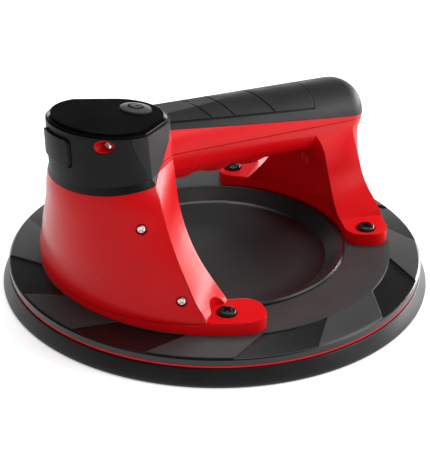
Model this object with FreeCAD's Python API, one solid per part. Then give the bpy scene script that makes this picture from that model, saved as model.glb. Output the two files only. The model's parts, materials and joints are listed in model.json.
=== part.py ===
"""Battery suction lifter for floor tiles: a rubber suction cup on a round plate,
a hollow tower with the vacuum pump, and a round handle that ends in a rear leg.

Units are millimetres. The origin is the centre of the cup on the floor plane,
+Z is up, and +X runs along the handle from the tower to the rear leg.
The object is mirror symmetric about the plane y = 0.
"""
import FreeCAD
import Part
import math
import os

V = FreeCAD.Vector

# fits and gaps
seam_gap = 0.3            # open seam between two covers
running_gap = 0.3         # between a moving piece and its guide
seat_gap = 0.05           # between a piece and the flat face that carries it
thread_gap = 0.05         # radial, screw in its tapped hole
hole_gap = 0.25           # radial, screw in its clearance hole
reach = 200.0             # half size of a cutting block, beyond every piece

# suction cup
lip_radius = 107.5
lip_round = 1.2
lip_inner_radius = 92.0
chamber_depth = 3.0
web_thickness = 3.0
skirt_radius = 103.8
skirt_height = 8.5
band_radius = 103.6
band_height = 1.7

# base plate
rim_radius = 104.1
rim_drop_radius = 97.4
rim_thickness = 3.9
facet_count = 16
facet_start = -128.7
facet_slant = 10.0
facet_inner_radius = 88.3
facet_depth = 0.8
rim_round = 1.2
seat_height = 16.3
dish_floor_radius = 55.5
dish_floor_height = 11.5
bead_inner_radius = 61.5
bead_outer_radius = 65.5
bead_height = 18.0
plate_wall = 3.0
rib_count = 12
rib_thickness = 2.4
boss_radius = 6.0

# housing walls
wall = 2.5
lap_wall = 1.8
lap_width = 13.0

# feet
foot_inner_radius = 66.3
foot_outer_radius = 88.3
foot_thickness = 6.4
tower_foot_angle = 63.5
leg_foot_angle = 44.5
foot_round = 9.0
tower_screw = (-50.2, 60.0)
leg_screw = (59.8, 48.5)
pocket_radius = 8.0

# tower outline
tower_front_low = -89.3
tower_front_high = -95.6
tower_half_low = 59.9
tower_half_high = 34.3
tower_low = 22.7
tower_high = 78.0
seam_bulge = -69.0
seam_bulge_height = 64.0
seam_bulge_rate = 0.00317
panel_bottom = 20.2
panel_bottom_rise = 0.08
panel_top = 81.3
panel_top_rise = 0.08
panel_upper_screw = (33.6, 66.0)
panel_lower_screw = (51.0, 32.5)
head_screw_angle = 130.9
head_screw_height = 105.0

# handle
handle_radius = 17.5
handle_wall = 4.6
handle_axis_height = 79.3
handle_slope = 0.163
handle_start = -60.0
handle_end = 82.3
grip_thickness = 2.3
grip_line_height = 87.3
grip_line_slope = 0.235
groove_line_height = 91.1
groove_line_slope = 0.207
groove_width = 0.8
groove_depth = 0.7
cross_grooves = ((-19.3, -14.0), (-4.1, 0.4), (21.9, 27.1), (59.0, 54.5))
finger_pitch = 24.0
finger_count = 3
finger_first = -39.0
finger_drop = 5.6
finger_low_radius = 10.6
finger_high_radius = 14.0

# head
lens_height = 108.7
lens_slope = 0.135
lens_slope_from = -70.0
lens_thickness = 2.4
lens_edge = 1.4
lens_margin = 0.8
button_x = -51.8
button_radius = 7.3
button_rise = 0.7
button_dome = 1.0
button_travel = 0.8
button_flange = 1.3
button_flange_thickness = 0.9
button_stem = 0.6
cap_top = 106.5
cap_bottom = 92.6
cap_angle = 172.0
cap_half_width = 9.9
cap_round = 2.2
cap_proud = 1.3
cap_depth = 1.5
head_front_x = -96.7
head_centre_x = -71.0
head_screw_radius = 26.0
switch_tip = 0.4
head_screw_depth = 3.8
screw_sleeve = 0.5
sleeve_inset = 0.4

# screws
m5_head_radius = 4.5
m5_head_height = 2.9
m5_shank_radius = 2.5
m5_length = 12.5
m3_head_radius = 2.0
m3_head_height = 1.4
m3_shank_radius = 1.1
m3_length = 5.0
m3_bore_radius = 2.7
m3_bore_depth = 1.6
foot_recess = 1.2
insert_radius = 3.5
insert_length = 7.5
filter_height = 3.4
handle_boss_radius = 3.6
handle_screw_x = (-15.0, 67.5)

# vacuum pump, stood upright in the tower
motor_x = -75.2
motor_radius = 10.5
motor_length = 28.0
motor_foot = 33.0
motor_collar = 1.2
shaft_radius = 1.0
crank_radius = 4.6
crank_offset = 1.0
crank_height = 5.0
pump_length = 25.0
pump_width = 18.0
pump_height = 17.0
pump_wall = 2.4
diaphragm_thickness = 1.2
pump_head_thickness = 4.6
pump_head_radius = 7.1
bracket_thickness = 2.0
bracket_front = -82.0
bracket_rear = -70.5

# air line
line_x = -70.8
hose_y = -23.6
valve_y = -31.8
inlet_y = -30.0
inlet_radius = 4.0
nipple_radius = 3.0
manifold_width = 9.5
manifold_low_y = -40.0
manifold_high_y = -20.5
manifold_height = 8.0
gasket_thickness = 0.8
barb_radius = 1.5
barb_length = 3.0
valve_radius = 4.8
valve_height = 24.0
plunger_radius = 2.4
plunger_length = 14.0
plunger_travel = 1.5
hose_radius = 2.6
hose_bend = 7.0

# battery in the handle
cell_radius = 9.25
cell_length = 65.0
cell_start = -6.0

# circuit boards
board_thickness = 1.6
board_low = 26.0
board_high = 60.0
board_y = 26.0
board_front = -78.0
board_rear = -61.5
display_depth = 6.8
display_inset = 5.3
carrier_depth = 12.0
socket_width = 8.9
socket_height = 3.3
socket_length = 7.3
socket_z = 98.0


def box(x0, x1, y0, y1, z0, z1):
    """Block between two corners."""
    return Part.makeBox(x1 - x0, y1 - y0, z1 - z0, V(x0, y0, z0))


def rod(radius, start, end):
    """Round bar from one point to another."""
    return Part.makeCylinder(radius, (end - start).Length, start, end - start)


def pipe(outer, inner, start, end):
    """Round tube from one point to another."""
    return rod(outer, start, end).cut(rod(inner, start, end))


def turned(points):
    """Solid of revolution about Z from a closed outline of (radius, height)."""
    corners = [V(r, 0, z) for r, z in points]
    outline = Part.makePolygon(corners + corners[:1])
    return Part.Face(outline).revolve(V(0, 0, 0), V(0, 0, 1), 360)


def polar(radius, angle, height=0.0):
    """Point at a radius and an angle in degrees."""
    return V(radius * math.cos(math.radians(angle)),
             radius * math.sin(math.radians(angle)), height)


def side_block(points, gap=0.0):
    """Block whose side view is a polygon of (x, z), drawn in by a gap."""
    corners = [V(x, 0, z) for x, z in points]
    outline = Part.makePolygon(corners + corners[:1])
    if gap:
        outline = outline.makeOffset2D(-gap, 2)
    block = Part.Face(outline).extrude(V(0, 2 * reach, 0))
    return block.translated(V(0, -reach, 0))


def plan_block(points, low, high):
    """Block whose plan view is a polygon of (x, y)."""
    corners = [V(x, y, low) for x, y in points]
    outline = Part.makePolygon(corners + corners[:1])
    return Part.Face(outline).extrude(V(0, 0, high - low))


def joined(shapes):
    """One solid from several overlapping ones."""
    first = shapes[0]
    if len(shapes) > 1:
        first = first.fuse(shapes[1:])
    return first.removeSplitter()


def section(height, front, corner, inner, middle, inset):
    """Closed outline at one height: a front arc, two flanks and an inner arc."""
    (cx, cy), (ix, iy) = corner, inner
    edges = [
        Part.Arc(V(cx, cy, height), V(front, 0, height), V(cx, -cy, height)).toShape(),
        Part.LineSegment(V(cx, -cy, height), V(ix, -iy, height)).toShape(),
        Part.Arc(V(ix, -iy, height), V(middle, 0, height), V(ix, iy, height)).toShape(),
        Part.LineSegment(V(ix, iy, height), V(cx, cy, height)).toShape(),
    ]
    outline = Part.Wire(edges)
    if inset:
        outline = outline.makeOffset2D(-inset, 2)
    return outline


def lofted(levels, inset):
    """Smooth body through a list of sections."""
    wires = [section(*level, inset) for level in levels]
    return Part.makeLoft(wires, True, False)


def seam_x(height):
    """Where the front panel ends on the side of the tower."""
    return seam_bulge + seam_bulge_rate * (height - seam_bulge_height) ** 2


def tower_levels():
    """Sections of the tower: height, front, panel corner, inner corner, inner middle."""
    inner = [(20.0, -41.0, 52.3, -66.3),
             (29.5, -44.2, 47.4, -60.5),
             (38.6, -47.5, 42.0, -55.0),
             (52.0, -50.0, 34.5, -48.0),
             (66.0, -47.5, 24.5, -42.0),
             (78.0, -46.5, 21.0, -37.5)]
    run = tower_high - tower_low
    levels = []
    for height, ix, iy, middle in inner:
        share = (height - tower_low) / run
        front = tower_front_low + share * (tower_front_high - tower_front_low)
        half = tower_half_low + share * (tower_half_high - tower_half_low)
        levels.append((height, front, (seam_x(height), half), (ix, iy), middle))
    levels.append((85.0, tower_front_high, (-67.2, 29.0), (-46.6, 19.4), -38.0))
    levels.append((93.0, tower_front_high - 0.2, (-67.3, 27.3), (-48.2, 18.6), -38.2))
    return levels


def head_levels():
    """Sections of the head, from inside the tower to above the lens."""
    return [(76.0, -95.0, (-66.9, 29.8), (-46.0, 20.0), -38.2),
            (96.0, -96.6, (-67.5, 27.4), (-48.5, 18.9), -37.6),
            (114.0, -97.4, (-68.0, 26.1), (-50.9, 17.9), -37.8)]


def leg_levels():
    """Sections of the rear leg."""
    return [(20.0, 88.0, (76.8, 45.0), (56.4, 36.2), 66.3),
            (30.0, 88.5, (77.8, 37.5), (58.4, 27.5), 66.3),
            (37.5, 89.6, (79.2, 29.5), (60.6, 22.6), 66.0),
            (46.0, 91.8, (80.3, 24.5), (61.5, 19.0), 63.5),
            (53.5, 94.3, (81.1, 20.8), (60.4, 18.0), 58.0),
            (61.5, 97.3, (82.0, 17.4), (57.0, 17.3), 49.0),
            (68.0, 99.0, (82.3, 17.2), (52.0, 16.9), 39.0)]


def lens_z(x):
    """Height of the lens face."""
    return lens_height - lens_slope * (x - lens_slope_from)


def axis_z(x):
    """Height of the handle axis."""
    return handle_axis_height - handle_slope * x


def handle_point(x, across=0.0, up=0.0):
    """Point at a place along the handle axis, with offsets across it."""
    tilt = math.atan(handle_slope)
    return V(x + up * math.sin(tilt), across, axis_z(x) + up * math.cos(tilt))


def handle_bar(radius, start=handle_start, end=handle_end):
    """Round bar along the handle axis."""
    return rod(radius, handle_point(start), handle_point(end))


def handle_form(radius):
    """Handle bar with a domed rear end."""
    dome = Part.makeSphere(radius, handle_point(handle_end))
    return handle_bar(radius).fuse(dome)


def dropped(levels, inset, low):
    """A lofted body with its lowest section carried straight down."""
    first = levels[0]
    wire = section(*first, inset)
    stub = Part.Face(wire).extrude(V(0, 0, low - first[0]))
    return lofted(levels, inset).fuse(stub)


def outer_form():
    """Outside of tower, head, handle and leg as one body."""
    body = lofted(tower_levels(), 0).fuse([lofted(head_levels(), 0),
                                           handle_form(handle_radius),
                                           lofted(leg_levels(), 0)])
    return body.common(below_lens(lens_thickness))


def below_lens(depth):
    """Everything under a plane that lies a depth below the lens face, square to it."""
    drop = depth * math.sqrt(1 + lens_slope ** 2)
    return side_block([(-reach, lens_z(-reach) - drop), (reach, lens_z(reach) - drop),
                       (reach, -reach), (-reach, -reach)])


def inner_form(inset):
    """Hollow of tower and leg at a wall thickness, with the bore of the handle."""
    return dropped(tower_levels()[:-1], inset, 10.0).fuse(
        [lofted(head_levels(), inset), dropped(leg_levels(), inset, 10.0),
         handle_form(handle_radius - handle_wall)])


def panel_line():
    """Side of the front panel in the side view, from its foot to its top."""
    heights = [29.0, 36.0, 43.0, 50.0, 57.0, 64.0, 70.0, 76.0]
    return [(seam_x(h), h) for h in heights] + [head_line()[0]]


def grip_line_z(x):
    """Lower edge of the soft cover along the handle."""
    return grip_line_height - grip_line_slope * x


def head_line():
    """Lower rear edge of the head in the side view."""
    return [(-66.8, 83.0), (-56.0, 88.4), (-49.5, 94.5), (-45.6, grip_line_z(-45.6))]


def head_seam():
    """Seam between the two head covers in the side view."""
    return [(-66.8, 83.0), (-69.4, 87.6), (-73.8, 96.0), (-76.6, 103.0), (-77.8, 112.0),
            (-78.2, 130.0)]


def panel_edge(height, rise, x):
    """Lower or upper edge of the front panel: level at the front, rising to the rear."""
    return (x, height + rise * (x - tower_front_low))


def panel_region(gap):
    """Front panel: between its two edges and in front of its side seam."""
    low = panel_edge(panel_bottom, panel_bottom_rise, seam_x(panel_bottom))
    return side_block([panel_edge(panel_bottom, panel_bottom_rise, -120.0), low]
                      + panel_line() + [panel_edge(panel_top, panel_top_rise, -120.0)], gap)


def head_front_region(gap):
    """Front cover of the head: above the panel and in front of the head seam."""
    return side_block([panel_edge(panel_top, panel_top_rise, -120.0)] + head_seam()
                      + [(-120.0, 130.0)], gap)


def handle_parting(x):
    return (x, axis_z(x))


def lower_region(gap):
    """Below the parting plane of the handle and behind the front panel."""
    low = panel_edge(panel_bottom, panel_bottom_rise, seam_x(panel_bottom))
    return side_block([(-120.0, 5.0), panel_edge(panel_bottom, panel_bottom_rise, -120.0),
                       low] + panel_line() + [head_line()[1]]
                      + [handle_parting(120.0), (120.0, 5.0)], gap)


def upper_region(gap):
    """Above the parting plane of the handle and behind the shoulders."""
    return side_block([head_line()[1], (-56.0, 125.0), (120.0, 125.0),
                       handle_parting(120.0)], gap)


def soft_region(gap):
    """Above the lower edge of the soft cover: shoulders beside the head, then the grip."""
    return side_block(head_line() + [(120.0, grip_line_z(120.0)), (120.0, 130.0)]
                      + head_seam()[:0:-1], gap)


def foot_strip(middle_angle, half_angle):
    """Ring segment with rounded ends that lies on the plate."""
    low, high = middle_angle - half_angle, middle_angle + half_angle
    z = seat_height + seat_gap
    edges = [
        Part.Arc(polar(foot_outer_radius, low, z), polar(foot_outer_radius, middle_angle, z),
                 polar(foot_outer_radius, high, z)).toShape(),
        Part.LineSegment(polar(foot_outer_radius, high, z),
                         polar(foot_inner_radius, high, z)).toShape(),
        Part.Arc(polar(foot_inner_radius, high, z), polar(foot_inner_radius, middle_angle, z),
                 polar(foot_inner_radius, low, z)).toShape(),
        Part.LineSegment(polar(foot_inner_radius, low, z),
                         polar(foot_outer_radius, low, z)).toShape(),
    ]
    strip = Part.Face(Part.Wire(edges)).extrude(V(0, 0, foot_thickness - seat_gap))
    uprights = [e for e in strip.Edges
                if abs(e.tangentAt(e.FirstParameter).z) > 0.9]
    return strip.makeFillet(foot_round, uprights)


def screw_places():
    """Centres of the four foot screws."""
    return [(x, side * y) for x, y in (tower_screw, leg_screw) for side in (1, -1)]



def ring_edges(shape, radius, height):
    """Circular edges of a turned solid at a radius and a height."""
    found = []
    for edge in shape.Edges:
        curve = edge.Curve
        if isinstance(curve, Part.Circle) and abs(curve.Radius - radius) < 0.01:
            if abs(curve.Center.z - height) < 0.01:
                found.append(edge)
    return found


def plate_bottom():
    return chamber_depth + web_thickness


def suction_pad():
    """Soft cup: flat sealing lip, chamber and skirt, bonded under the plate."""
    top = plate_bottom()
    pad = turned([(0, chamber_depth), (lip_inner_radius - 2.0, chamber_depth),
                  (lip_inner_radius, 0), (lip_radius - lip_round, 0),
                  (lip_radius, lip_round), (skirt_radius, skirt_height),
                  (rim_drop_radius + seat_gap, skirt_height), (rim_drop_radius + seat_gap, top),
                  (0, top)])
    return pad.cut(rod(inlet_radius, V(line_x, inlet_y, -1), V(line_x, inlet_y, top + 1)))


def seal_band():
    """Coloured sealing band between the cup and the plate rim."""
    low = V(0, 0, skirt_height + seat_gap)
    high = V(0, 0, skirt_height + band_height - seat_gap)
    return pipe(band_radius, rim_drop_radius + seat_gap, low, high)


def slope_ring(inner_drop, outer_radius):
    """Space above the outer slope of the plate, or above a level parallel to it."""
    rim_top = skirt_height + band_height + rim_thickness
    fall = (seat_height - rim_top) / (rim_radius - facet_inner_radius)
    inner = seat_height - inner_drop
    outer = inner - fall * (outer_radius - facet_inner_radius)
    return turned([(facet_inner_radius, inner), (outer_radius, outer),
                   (outer_radius, seat_height + 1.0), (facet_inner_radius, seat_height + 1.0)])


def facet_pockets():
    """Shallow recesses with slanted sides, every second facet of the outer slope."""
    pitch = 360.0 / facet_count
    beyond = 4.0
    turn = facet_slant * beyond / (rim_radius - facet_inner_radius)
    blank = slope_ring(facet_depth, rim_radius + beyond)
    pockets = []
    for k in range(0, facet_count, 2):
        start = facet_start + k * pitch
        outer = [polar(rim_radius + beyond, start - turn + a) for a in (0, pitch / 2, pitch)]
        inner = [polar(facet_inner_radius - beyond, start + facet_slant + turn + a)
                 for a in (pitch, pitch / 2, 0)]
        wedge = plan_block([(p.x, p.y) for p in outer + inner], 0, reach)
        pockets.append(blank.common(wedge))
    return pockets


def base_plate():
    """Round plate with a dish in the middle, a raised bead and a ribbed hollow ring."""
    low = plate_bottom() + seat_gap
    rim_low = skirt_height + band_height
    bead_side = bead_height - 0.8
    plate = turned([(0, low), (rim_drop_radius, low), (rim_drop_radius, rim_low),
                    (rim_radius, rim_low), (rim_radius, rim_low + rim_thickness - rim_round),
                    (rim_radius - rim_round, rim_low + rim_thickness),
                    (facet_inner_radius, seat_height),
                    (bead_outer_radius, seat_height), (bead_outer_radius, bead_side),
                    (bead_outer_radius - 0.8, bead_height),
                    (bead_inner_radius + 0.8, bead_height), (bead_inner_radius, bead_side),
                    (dish_floor_radius, dish_floor_height), (0, dish_floor_height)])
    plate = plate.makeFillet(3.0, ring_edges(plate, dish_floor_radius, dish_floor_height))
    skirt = pipe(rim_drop_radius, rim_drop_radius - plate_wall, V(0, 0, low), V(0, 0, rim_low))
    hollow = pipe(rim_drop_radius - plate_wall, bead_outer_radius + plate_wall, V(0, 0, low - 1),
                  V(0, 0, rim_low + 0.4))
    deep = pipe(facet_inner_radius, bead_outer_radius + plate_wall, V(0, 0, low - 1),
                V(0, 0, seat_height - plate_wall))
    body = joined([plate, skirt]).cut(hollow.fuse(deep)).cut(facet_pockets())
    stays = []
    for k in range(rib_count):
        rib = box(bead_outer_radius + plate_wall - 0.5, rim_drop_radius - 0.5,
                  -rib_thickness / 2, rib_thickness / 2, low, rim_low + 1.0)
        rib.rotate(V(0, 0, 0), V(0, 0, 1), k * 360.0 / rib_count + 15.0)
        stays.append(rib)
    places = screw_places() + [(line_x, inlet_y)]
    for x, y in places:
        stays.append(rod(boss_radius, V(x, y, low), V(x, y, seat_height - 1.0)))
    body = joined([body] + stays)
    for x, y in screw_places():
        body = body.cut(rod(insert_radius, V(x, y, seat_height - insert_length - 0.8),
                            V(x, y, seat_height + 1)))
    body = body.cut(rod(nipple_radius + seat_gap, V(line_x, inlet_y, 0),
                        V(line_x, inlet_y, reach)))
    return body.cut(rod(inlet_radius, V(line_x, inlet_y, low - 1),
                        V(line_x, inlet_y, low + filter_height)))


def foot_inserts():
    """Threaded brass inserts in the plate."""
    top = seat_height
    return [pipe(insert_radius - seat_gap, m5_shank_radius + thread_gap,
                 V(x, y, top - insert_length), V(x, y, top)) for x, y in screw_places()]


def inlet_filter():
    """Foam disc that keeps grit out of the air line."""
    low = plate_bottom() + seat_gap
    return rod(inlet_radius - seat_gap, V(line_x, inlet_y, low),
               V(line_x, inlet_y, low + filter_height - seat_gap))


def inlet_nipple():
    """Tube that carries the vacuum through the plate."""
    low = plate_bottom() + seat_gap + filter_height
    return pipe(nipple_radius, barb_radius, V(line_x, inlet_y, low + seat_gap),
                V(line_x, inlet_y, manifold_floor() + 2.0))


def manifold_floor():
    return seat_height + seat_gap + gasket_thickness + seat_gap


def screw(head_radius, head_height, shank_radius, length, slot):
    """Pan head screw with a cross recess, head up, seated at the origin."""
    head = rod(head_radius, V(0, 0, 0), V(0, 0, head_height))
    head = head.makeFillet(head_height * 0.5, ring_edges(head, head_radius, head_height))
    shank = rod(shank_radius, V(0, 0, -length), V(0, 0, 0))
    shank = shank.makeChamfer(shank_radius * 0.25, ring_edges(shank, shank_radius, -length))
    body = joined([head, shank])
    deep = head_height * 0.45
    arm = head_radius * 0.62
    cross = box(-arm, arm, -slot / 2, slot / 2, deep, reach)
    return body.cut(cross).cut(box(-slot / 2, slot / 2, -arm, arm, deep, reach))


def placed(shape, seat, direction):
    """A shape made along +Z, moved to a seat so that +Z points along a direction."""
    moved = shape.copy()
    turn = FreeCAD.Rotation(V(0, 0, 1), direction)
    moved.Placement = FreeCAD.Placement(seat, turn)
    return moved


def foot_top():
    return seat_height + foot_thickness


def foot_screws():
    """Black screws that clamp the housing to the plate."""
    shape = screw(m5_head_radius, m5_head_height, m5_shank_radius, m5_length, 1.2)
    seat = foot_top() - foot_recess
    return [placed(shape, V(x, y, seat + seat_gap), V(0, 0, 1)) for x, y in screw_places()]


def front_circle(height):
    """Centre x and radius of the front panel's arc at one height."""
    share = (height - tower_low) / (tower_high - tower_low)
    front = tower_front_low + share * (tower_front_high - tower_front_low)
    half = tower_half_low + share * (tower_half_high - tower_half_low)
    depth = seam_x(height) - front
    radius = (half ** 2 + depth ** 2) / (2 * depth)
    return front + radius, radius


def panel_screw_seats():
    """Points on the panel face, with the outward direction."""
    seats = []
    for y, z in (panel_upper_screw, panel_lower_screw):
        centre, radius = front_circle(z)
        run = math.sqrt(radius ** 2 - y ** 2)
        for side in (1, -1):
            point = V(centre - run, side * y, z)
            seats.append((point, V(-run / radius, side * y / radius, 0)))
    return seats


def head_screw_seats():
    """Points on the front of the head, with the outward direction."""
    centre = V(head_centre_x, 0, head_screw_height)
    seats = []
    for side in (1, -1):
        point = centre + polar(head_screw_radius, side * head_screw_angle)
        seats.append((point, V(-1, 0, 0)))
    return seats


def bored(shape, seats):
    """Counterbored clearance holes for the small screws."""
    for point, out in seats:
        shape = shape.cut(rod(m3_bore_radius, point - out * m3_bore_depth, point + out * 6.0))
        shape = shape.cut(rod(m3_shank_radius + hole_gap, point - out * 8.0, point))
    return shape


def tapped(shape, seats):
    """Thread holes for the small screws."""
    for point, out in seats:
        shape = shape.cut(rod(m3_shank_radius + thread_gap, point - out * 12.0, point))
    return shape


def small_screws(seats, depth):
    """Bright screws seated at a depth below the surface."""
    shape = screw(m3_head_radius, m3_head_height, m3_shank_radius, m3_length, 0.7)
    return [placed(shape, point - out * (depth - seat_gap), out) for point, out in seats]


def largest(shape):
    """The biggest solid of a cut shape."""
    return max(shape.Solids, key=lambda s: s.Volume)


def front_panel(shell):
    """Curved front cover of the tower; its badge field stays plain."""
    panel = largest(shell.common(panel_region(seam_gap / 2)))
    return bored(panel, panel_screw_seats())


def lap_strip(outer, inner):
    """Rebate behind the side seam of the front panel."""
    line = panel_line()
    front = [(x - lap_width, z) for x, z in line]
    rear = [(x + 4.0, z) for x, z in line]
    strip = side_block(front + rear[::-1])
    return outer.common(strip).cut(inner)


def seam_post(outer, inner):
    """Thick wall just behind the panel seam that carries the rebate."""
    line = panel_line()
    front = [(x + seam_gap, z) for x, z in line]
    rear = [(x + 4.0, z) for x, z in line]
    strip = side_block(front + rear[::-1])
    return outer.common(strip).cut(inner)


def screw_pocket_wall(outer):
    """Solid wall around the recess for each front foot screw."""
    walls = []
    for side in (1, -1):
        x, y = tower_screw[0], side * tower_screw[1]
        walls.append(rod(pocket_radius + wall, V(x, y, foot_top() - 1.0), V(x, y, 34.0)))
    return [outer.common(w) for w in walls]


def handle_boss(x, start, end, radius):
    """Screw post across the handle bore."""
    return rod(radius, handle_point(x, 0, start), handle_point(x, 0, end))


def finger_ridges():
    """Rounded ridges between the fingers along the underside of the handle."""
    steps = [finger_first + k * finger_pitch for k in range(finger_count + 1)]
    edges = []
    for x in steps[:-1]:
        edges.append(Part.Arc(V(finger_low_radius, 0, x),
                              V(finger_high_radius, 0, x + finger_pitch / 2),
                              V(finger_low_radius, 0, x + finger_pitch)).toShape())
    edges.append(Part.makePolygon([V(finger_low_radius, 0, steps[-1]), V(0, 0, steps[-1]),
                                   V(0, 0, steps[0]), V(finger_low_radius, 0, steps[0])]))
    outline = Part.Wire([e for shape in edges for e in shape.Edges])
    ridges = Part.Face(outline).revolve(V(0, 0, 0), V(0, 0, 1), 360)
    along = handle_point(1.0) - handle_point(0.0)
    return placed(ridges, handle_point(0.0, 0, -finger_drop), along)


def lower_frame(shell, core):
    """Tower sides, lower half of the handle, rear leg and the four feet."""
    feet = [foot_strip(180.0, tower_foot_angle), foot_strip(0.0, leg_foot_angle)]
    feet = [f.cut(panel_region(-seam_gap / 2)).cut(core) for f in feet]
    walls = largest(shell.common(lower_region(seam_gap / 2)))
    lap_outer = lofted(tower_levels(), wall + 0.2)
    lap_inner = lofted(tower_levels(), wall + 0.2 + lap_wall)
    tower = lofted(tower_levels(), 0)
    reach_in = handle_wall - 0.6 - handle_radius
    posts = [handle_boss(x, reach_in, -seam_gap / 2, handle_boss_radius).common(
        handle_bar(handle_radius - 1.0)) for x in handle_screw_x]
    ridges = finger_ridges().cut(core).common(lower_region(seam_gap / 2))
    body = joined([walls, ridges] + feet + [lap_strip(lap_outer, lap_inner),
                                    seam_post(tower, lap_inner)]
                  + screw_pocket_wall(tower) + posts)
    for x, y in screw_places():
        body = body.cut(rod(m5_shank_radius + hole_gap, V(x, y, 0), V(x, y, reach)))
        recess = pocket_radius if x < 0 else m5_head_radius + 0.6
        body = body.cut(rod(recess, V(x, y, foot_top()), V(x, y, 60.0)))
        body = body.cut(rod(m5_head_radius + 0.6, V(x, y, foot_top() - foot_recess),
                            V(x, y, foot_top() + 1)))
    for x in handle_screw_x:
        body = body.cut(handle_boss(x, -reach / 4, handle_screw_seat(), m3_bore_radius))
        body = body.cut(handle_boss(x, -handle_radius, 0, m3_shank_radius + hole_gap))
    return largest(tapped(body, panel_screw_seats()))


def handle_screw_seat():
    return handle_wall - handle_radius + 1.5


def upper_shell(shell):
    """Upper half of the handle under the grip, with its shoulders beside the head."""
    body = shell.common(upper_region(seam_gap / 2))
    outside = soft_region(0.0).cut(handle_form(handle_radius - grip_thickness))
    body = largest(body.cut(outside))
    posts = [handle_boss(x, seam_gap / 2, handle_radius - grip_thickness - 1.0,
                         handle_boss_radius) for x in handle_screw_x]
    body = joined([body] + posts)
    for x in handle_screw_x:
        body = body.cut(handle_boss(x, -1.0, 10.0, m3_shank_radius + thread_gap))
    return largest(body)


def grip_grooves():
    """Shallow grooves that divide the soft grip into pads."""
    ring = handle_form(handle_radius + 3.0).cut(handle_form(handle_radius - groove_depth))
    half = groove_width / 2

    def low_line(x):
        return groove_line_height - groove_line_slope * x

    def slab(start, end):
        (x0, z0), (x1, z1) = start, end
        return side_block([(x0 - half, z0), (x0 + half, z0), (x1 + half, z1),
                           (x1 - half, z1)])
    cuts = []
    for top, low in cross_grooves:
        cuts.append(slab((top, axis_z(top) + handle_radius + 1.0), (low, low_line(low))))
    end_low = cross_grooves[-1][1]
    cuts.append(side_block([(-60.0, low_line(-60.0) - half), (-60.0, low_line(-60.0) + half),
                            (end_low, low_line(end_low) + half),
                            (end_low, low_line(end_low) - half)]))
    return ring.common(joined(cuts))


def soft_cover(shell):
    """Soft cover: shoulders beside the head that run on into the grip of the handle."""
    skin = shell.common(soft_region(seam_gap / 2))
    bar = handle_form(handle_radius - grip_thickness + seat_gap)
    return largest(skin.cut(bar).cut(grip_grooves()))


def cap_block(gap):
    """Block with rounded edges that cuts the port flap out of the head wall."""
    half = cap_half_width + gap
    block = box(0.0, 60.0, -half, half, cap_bottom - gap, cap_top + gap)
    long_edges = [e for e in block.Edges if abs(e.tangentAt(e.FirstParameter).x) > 0.9]
    block = block.makeFillet(cap_round + gap, long_edges)
    turned_block = block.rotated(V(0, 0, 0), V(0, 0, 1), cap_angle)
    return turned_block.translated(V(head_centre_x, 0, 0))


def cap_shell(gap, depth):
    """Layer of the head wall with the outline of the port flap."""
    layer = lofted(head_levels(), -cap_proud).cut(lofted(head_levels(), depth))
    return layer.common(cap_block(gap))


def socket_block(gap, start, end):
    half = socket_width / 2 + gap
    rise = socket_height / 2 + gap
    block = box(start, end, -half, half, socket_z - rise, socket_z + rise)
    long_edges = [e for e in block.Edges if abs(e.tangentAt(e.FirstParameter).x) > 0.9]
    return block.makeFillet(rise - 0.15, long_edges)


def cap_seat():
    """Where the charging port starts behind the flap."""
    return head_front_x + cap_depth


def head_front_cover(shell):
    """Front cover of the head, with the charging port and its screws."""
    cover = largest(shell.common(head_front_region(seam_gap / 2)))
    cover = cover.cut(cap_shell(running_gap, cap_depth))
    cover = cover.cut(socket_block(0.2, -150.0, -80.0))
    for point, out in head_screw_seats():
        hole = m3_bore_radius + screw_sleeve + 2 * seat_gap
        cover = cover.cut(rod(hole, point - out * reach / 8, point + out * reach / 8))
    return largest(cover)


def screw_sleeves():
    """Sleeves of the inner ring that come up through the front cover round its screws."""
    skin = lofted(head_levels(), sleeve_inset).common(below_lens(lens_thickness + seat_gap))
    radius = m3_bore_radius + screw_sleeve
    return [rod(radius, point - out * (head_screw_depth + 1.0), point + out * 3.0).common(skin)
            for point, out in head_screw_seats()]


def lens_blank(inset):
    """Upright prism with the outline of the lens."""
    level = head_levels()[1]
    top = head_levels()[2]
    share = (lens_height - level[0]) / (top[0] - level[0])

    def mix(a, b):
        return a + share * (b - a)
    wire = section(0.0, mix(level[1], top[1]),
                   (mix(level[2][0], top[2][0]), mix(level[2][1], top[2][1])),
                   (mix(level[3][0], top[3][0]), mix(level[3][1], top[3][1])),
                   mix(level[4], top[4]), inset)
    return Part.Face(wire).extrude(V(0, 0, 130.0))


def lens_normal():
    return V(lens_slope, 0, 1).normalize()


def button_point(up):
    """Point on the axis of the button, at a distance above the lens face."""
    return V(button_x, 0, lens_z(button_x)) + lens_normal() * up


def display_window():
    """Glossy lens over the display, with a bevelled rim."""
    lens = lens_blank(lens_margin).common(below_lens(0.0))
    lens = lens.cut(below_lens(lens_thickness - seat_gap))
    rim = [e for e in lens.Edges if abs(e.CenterOfMass.z - lens_z(e.CenterOfMass.x)) < 0.02]
    lens = lens.makeChamfer(lens_edge, rim)
    return lens.cut(rod(button_radius + running_gap, button_point(-10.0), button_point(10.0)))


def flange_bottom():
    """Height of the underside of the button's flange above the lens face."""
    return -lens_thickness - running_gap - button_flange_thickness


def power_button():
    """Domed push button; its flange keeps it under the lens."""
    sphere = (button_radius ** 2 + button_dome ** 2) / (2 * button_dome)
    low = flange_bottom()
    top = button_rise + button_dome
    crown = rod(button_radius, button_point(low), button_point(top))
    crown = crown.common(Part.makeSphere(sphere, button_point(top - sphere)))
    flange = rod(button_radius + button_flange, button_point(low),
                 button_point(low + button_flange_thickness))
    stem = rod(1.6, button_point(low - button_stem), button_point(low + 0.3))
    return joined([crown, flange, stem])


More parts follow.
